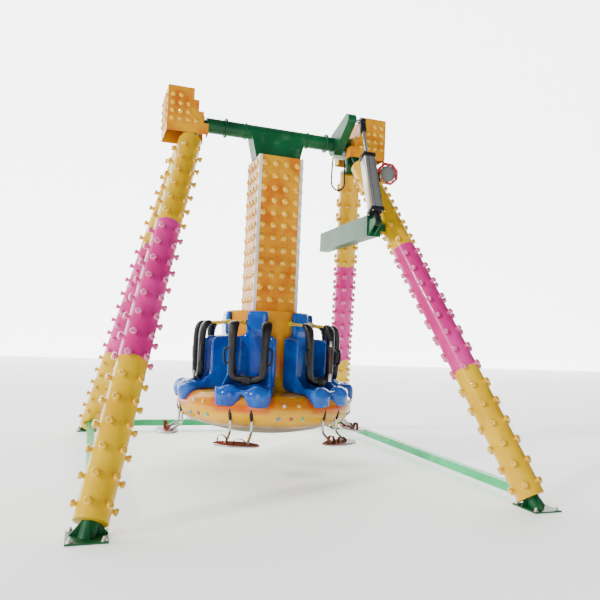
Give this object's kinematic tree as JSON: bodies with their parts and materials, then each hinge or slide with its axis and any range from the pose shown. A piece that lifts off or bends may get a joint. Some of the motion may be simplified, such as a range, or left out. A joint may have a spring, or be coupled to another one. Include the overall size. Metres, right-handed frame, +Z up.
{
  "type": "pendulum ride",
  "caption": "Small fairground pendulum ride: a round gondola of bucket seats with shoulder restraints hangs on a lamp column from a beam between splayed legs and swings by a side cylinder.",
  "frame": {"origin": "on the ground, centred between the four feet", "axes": "+X along the swing beam towards the drive cylinder, +Y from the front to the back, +Z up"},
  "size_m": [3.87, 4.66, 3.89],
  "materials": {
    "cover_yellow": "glossy glass-fibre",
    "cover_pink": "glossy glass-fibre",
    "steel_green": "gloss paint",
    "panel_orange": "gloss paint on sheet",
    "trim_white": "satin",
    "bearing_steel": "machined",
    "shell_yellow": "glossy glass-fibre, sprayed orange at the edges",
    "bracket_yellow": "gloss paint",
    "seat_blue": "glossy glass-fibre",
    "pad_black": "satin skinned foam",
    "footrest_chrome": "polished tube",
    "barrel_aluminium": "anodised extrusion",
    "rod_chrome": "hard chrome"
  },
  "bodies": {
    "frame": {"bearing_housing_left": "steel_green", "bearing_housing_right": "steel_green", "cross_beam": "steel_green", "cylinder_bracket": "steel_green", "leg_cover_pink_bl": "cover_pink", "leg_cover_pink_br": "cover_pink", "leg_cover_pink_fl": "cover_pink", "leg_cover_pink_fr": "cover_pink", "leg_cover_yellow_bl": "cover_yellow", "leg_cover_yellow_br": "cover_yellow", "leg_cover_yellow_fl": "cover_yellow", "leg_cover_yellow_fr": "cover_yellow", "leg_tube_bl": "steel_green", "leg_tube_br": "steel_green", "leg_tube_fl": "steel_green", "leg_tube_fr": "steel_green", "step_box_left": "panel_orange", "step_box_right": "panel_orange", "tie_bar_back": "steel_green", "tie_bar_left": "steel_green", "tie_bar_right": "steel_green"},
    "pendulum": {"swing_beam": "steel_green", "column_hanger": "steel_green", "lamp_column": "panel_orange", "column_trims": "trim_white", "crank_arm": "steel_green", "slew_bearing": "bearing_steel"},
    "gondola": {"gondola_body": "shell_yellow", "restraint_brackets": "bracket_yellow", "seat_1": "seat_blue", "seat_2": "seat_blue", "seat_3": "seat_blue", "seat_4": "seat_blue", "seat_5": "seat_blue", "seat_6": "seat_blue", "footrest_1": "footrest_chrome", "footrest_2": "footrest_chrome", "footrest_3": "footrest_chrome", "footrest_4": "footrest_chrome", "footrest_5": "footrest_chrome", "footrest_6": "footrest_chrome"},
    "restraint_1": {"restraint_1": "pad_black"},
    "restraint_2": {"restraint_2": "pad_black"},
    "restraint_3": {"restraint_3": "pad_black"},
    "restraint_4": {"restraint_4": "pad_black"},
    "restraint_5": {"restraint_5": "pad_black"},
    "restraint_6": {"restraint_6": "pad_black"},
    "barrel": {"cylinder_barrel": "barrel_aluminium"},
    "rod": {"cylinder_rod": "rod_chrome"}
  },
  "joints": [
    {"name": "swing", "type": "hinge", "parent": "frame", "child": "pendulum", "pos_m": [0, 0, 3.6], "axis": [1, 0, 0], "range_deg": [-35, 35]},
    {"name": "gondola_spin", "type": "hinge", "parent": "pendulum", "child": "gondola", "pos_m": [0, 0, 1.6], "axis": [0, 0, 1], "continuous": true},
    {"name": "restraint_1_hinge", "type": "hinge", "parent": "gondola", "child": "restraint_1", "pos_m": [0.235, -0.40703, 1.49], "axis": [-0.866, -0.5, 0], "range_deg": [0, 70]},
    {"name": "restraint_2_hinge", "type": "hinge", "parent": "gondola", "child": "restraint_2", "pos_m": [0.47, 0, 1.49], "axis": [0, -1, 0], "range_deg": [0, 70]},
    {"name": "restraint_3_hinge", "type": "hinge", "parent": "gondola", "child": "restraint_3", "pos_m": [0.235, 0.40703, 1.49], "axis": [0.866, -0.5, 0], "range_deg": [0, 70]},
    {"name": "restraint_4_hinge", "type": "hinge", "parent": "gondola", "child": "restraint_4", "pos_m": [-0.235, 0.40703, 1.49], "axis": [0.866, 0.5, 0], "range_deg": [0, 70]},
    {"name": "restraint_5_hinge", "type": "hinge", "parent": "gondola", "child": "restraint_5", "pos_m": [-0.47, 0, 1.49], "axis": [0, 1, 0], "range_deg": [0, 70]},
    {"name": "restraint_6_hinge", "type": "hinge", "parent": "gondola", "child": "restraint_6", "pos_m": [-0.235, -0.40703, 1.49], "axis": [-0.866, 0.5, 0], "range_deg": [0, 70]},
    {"name": "barrel_tilt", "type": "hinge", "parent": "frame", "child": "barrel", "pos_m": [0.873, -0.841, 2.575], "axis": [1, 0, 0], "range_deg": [-1.5, 1.5]},
    {"name": "rod_slide", "type": "slide", "parent": "barrel", "child": "rod", "axis": [0, 0.3603, 0.9328], "range_m": [-0.26, 0.26]}
  ],
  "couplings": [
    {"joint": "barrel_tilt", "follows": "swing", "ratio": 0.02442},
    {"joint": "rod_slide", "follows": "swing", "m_per_rad": -0.41524}
  ]
}
